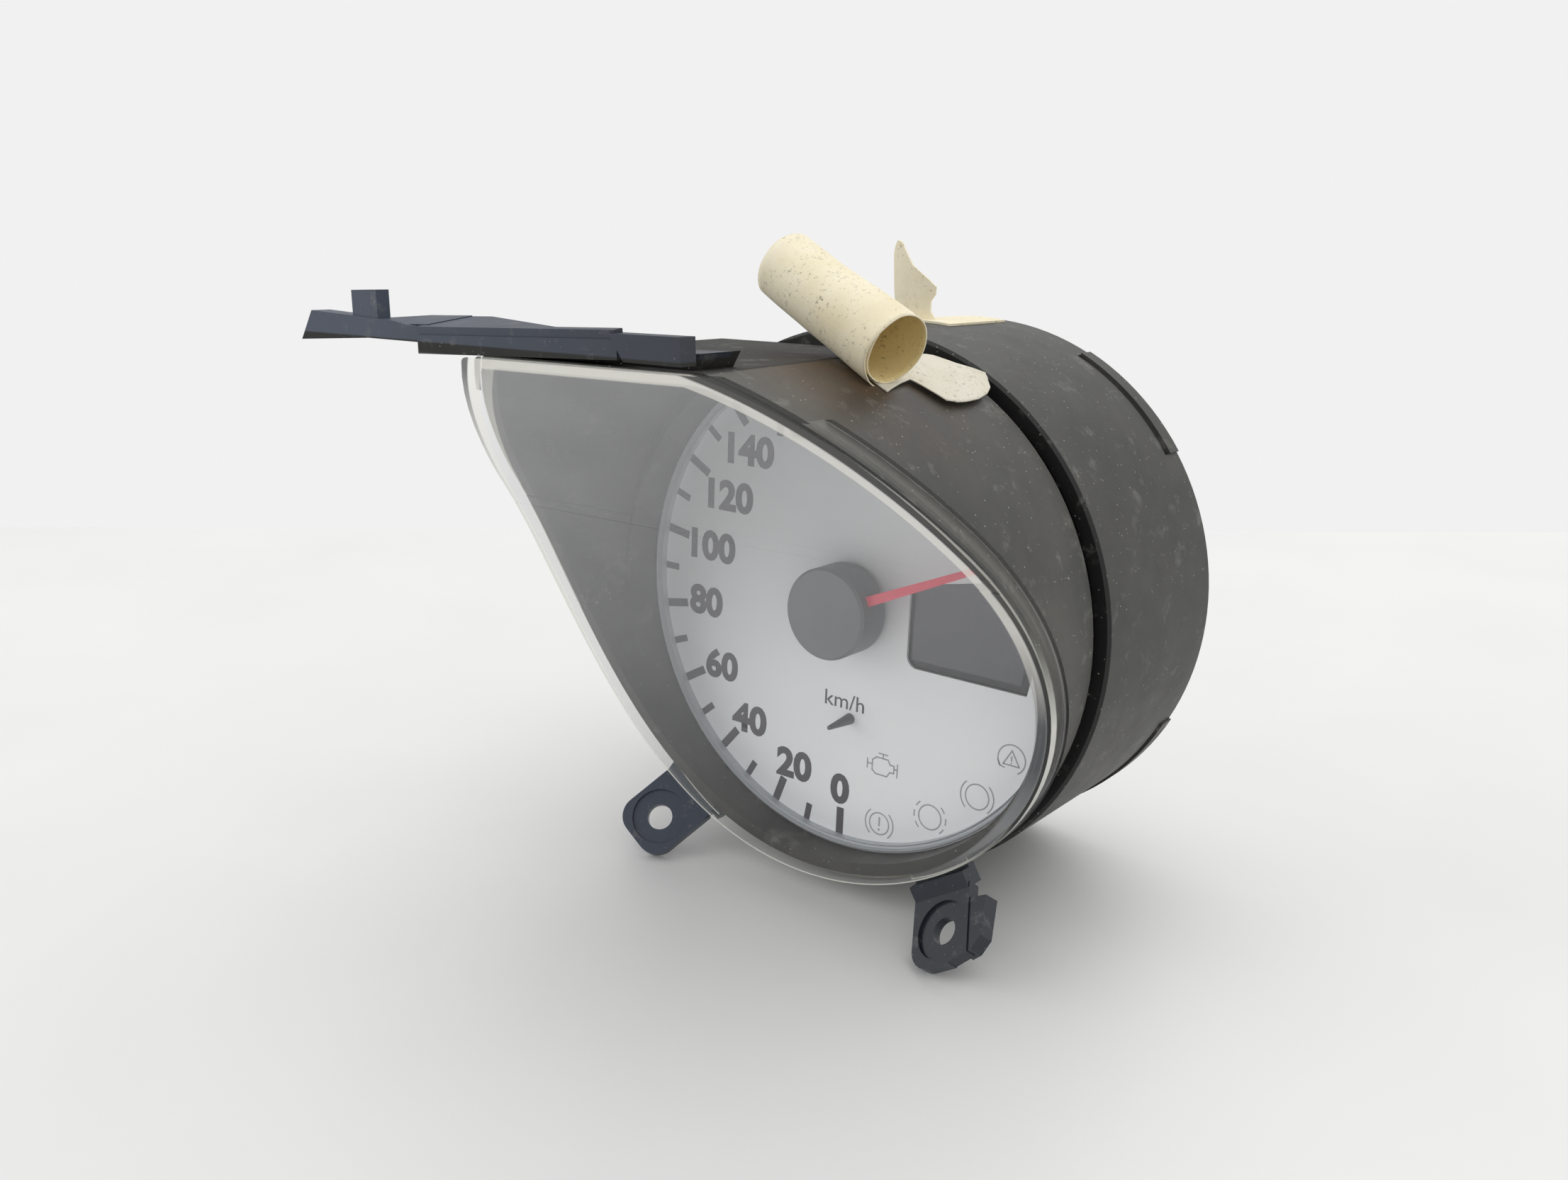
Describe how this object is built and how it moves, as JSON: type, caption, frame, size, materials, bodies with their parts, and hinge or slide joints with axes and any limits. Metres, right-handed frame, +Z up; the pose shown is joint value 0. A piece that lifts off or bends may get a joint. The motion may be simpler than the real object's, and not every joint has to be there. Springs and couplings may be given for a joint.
{
  "type": "car speedometer",
  "caption": "Round dashboard speedometer in a deep black hood with a curved sloping lens, silver dial, red needle, small display, two fixing ears and a torn paper label",
  "frame": {"origin": "middle of the bounding box at the height of the surface it stands on", "axes": "Z up; the dial faces -Y and leans back a little as the instrument rests on its two ears and rear rim; X to the right as the dial is read"},
  "size_m": [0.1357, 0.1212, 0.1349],
  "materials": {
    "hood_plastic": "fine spark-eroded black, dusty, slightly faded",
    "lens_clear": "clear moulded acrylic, finely scratched",
    "ring_bright": "silver painted plastic ring",
    "dial_silver": "silver-grey screen-printed film",
    "hub_grey": "dark grey moulded plastic",
    "needle_red": "faded red translucent plastic",
    "steel": "plain turned steel",
    "magnet": "sintered ferrite, dull dark grey",
    "clear_guide": "clear acrylic",
    "white_plastic": "white reflective plastic",
    "display_dark": "dark display glass",
    "contact_rubber": "layered grey contact rubber",
    "board_green": "glass-fibre board, green lacquer",
    "coil_copper": "enamelled copper wire, wound",
    "bobbin_plastic": "natural nylon",
    "brass": "bright brass",
    "can_steel": "zinc plated drawn steel",
    "lamp_glass": "clear lamp glass",
    "black_plastic": "black moulded plastic",
    "chip_black": "moulded epoxy",
    "capacitor_sleeve": "printed sleeve over aluminium can",
    "label_paper": "yellowed gummed paper, dusty"
  },
  "bodies": {
    "instrument": {"front_shroud": "hood_plastic", "lens": "lens_clear", "dial_ring": "ring_bright", "dial_plate": "dial_silver", "stop_pin": "hub_grey", "light_guide": "clear_guide", "light_box": "white_plastic", "display_glass": "display_dark", "display_frame": "white_plastic", "contact_strips": "contact_rubber", "circuit_board": "board_green", "movement_case": "can_steel", "movement_cover": "bobbin_plastic", "coil_bobbin": "bobbin_plastic", "coil_a": "coil_copper", "coil_b": "coil_copper", "shaft_bushes": "brass", "movement_pins": "brass", "lamp_sockets": "bobbin_plastic", "lamps": "lamp_glass", "board_lamps": "white_plastic", "connector_shell": "black_plastic", "connector_pins": "brass", "driver_chip": "chip_black", "capacitors": "capacitor_sleeve", "rear_housing": "hood_plastic", "rear_cover": "white_plastic", "board_screws": "steel", "paper_label": "label_paper", "label_scrap": "label_paper"},
    "pointer": {"hub_cap": "hub_grey", "needle": "needle_red", "pointer_shaft": "steel", "rotor_magnet": "magnet"}
  },
  "joints": [
    {"name": "pointer_turn", "type": "hinge", "parent": "instrument", "child": "pointer", "pos_m": [0.01198, 0.00727, 0.05985], "axis": [0.0015, 0.9961, -0.0877], "range_deg": [-244.5, 106.5]}
  ]
}
